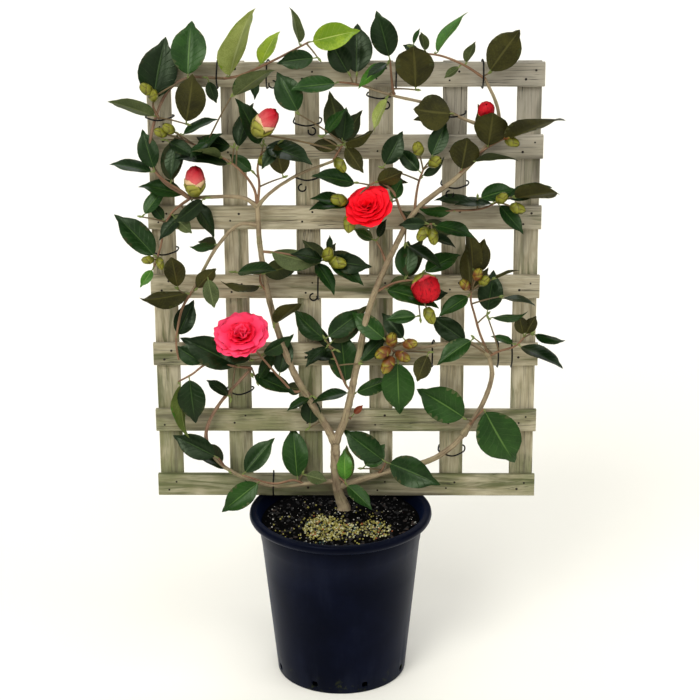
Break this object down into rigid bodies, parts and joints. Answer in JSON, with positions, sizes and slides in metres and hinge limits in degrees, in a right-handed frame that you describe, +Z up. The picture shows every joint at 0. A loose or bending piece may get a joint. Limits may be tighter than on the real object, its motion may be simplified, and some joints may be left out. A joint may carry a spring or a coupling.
{
  "type": "camellia shrub",
  "caption": "Potted camellia trained flat on a square timber trellis, in flower, with glossy leaves, buds and red double blooms.",
  "frame": {"origin": "centre of the pot's flat underside, on the surface that the pot stands on", "axes": "+Z up; the trained face of the shrub and trellis looks along -Y; +X is to the right as seen from the front"},
  "size_m": [0.7286, 0.305, 1.1372],
  "materials": {
    "pot": "satin",
    "soil": "matte",
    "timber": "matte",
    "bark": "matte",
    "foliage": "satin"
  },
  "bodies": {
    "root": {"pot": "pot", "soil": "soil", "rail_1": "timber", "rail_2": "timber", "rail_3": "timber", "rail_4": "timber", "rail_5": "timber", "rail_6": "timber", "rail_7": "timber", "lath_1": "timber", "lath_2": "timber", "lath_3": "timber", "lath_4": "timber", "lath_5": "timber", "lath_6": "timber", "trunk": "bark", "left_leader": "bark", "right_leader": "bark", "left_low": "bark", "left_low_rise": "bark", "right_low": "bark", "right_low_rise": "bark", "right_low_cross": "bark", "left_arm": "bark", "left_rise": "bark", "left_inner": "bark", "inner_rise": "bark", "long_left": "bark", "right_arc": "bark", "corner_left": "foliage", "top_left": "foliage", "upper_left": "foliage", "upper_inner": "foliage", "upper_mid": "foliage", "left_edge": "foliage", "left_fall": "foliage", "left_mid": "foliage", "left_low_leaves": "foliage", "left_low_outer": "foliage", "left_low_bottom": "foliage", "bloom_coral": "foliage", "leader_left": "foliage", "centre": "foliage", "centre_low": "foliage", "bud_cluster": "foliage", "right_out": "foliage", "right_up": "foliage", "right_low_leaves": "foliage", "foot_right": "foliage", "foot_leaves": "foliage", "right_mid": "foliage", "under_bloom": "foliage", "bloom_scarlet": "foliage", "bud_pair": "foliage", "right_inner": "foliage", "right_side": "foliage", "right_tip": "foliage", "top_mid": "foliage", "top_centre": "foliage", "top_right": "foliage"}
  },
  "joints": []
}
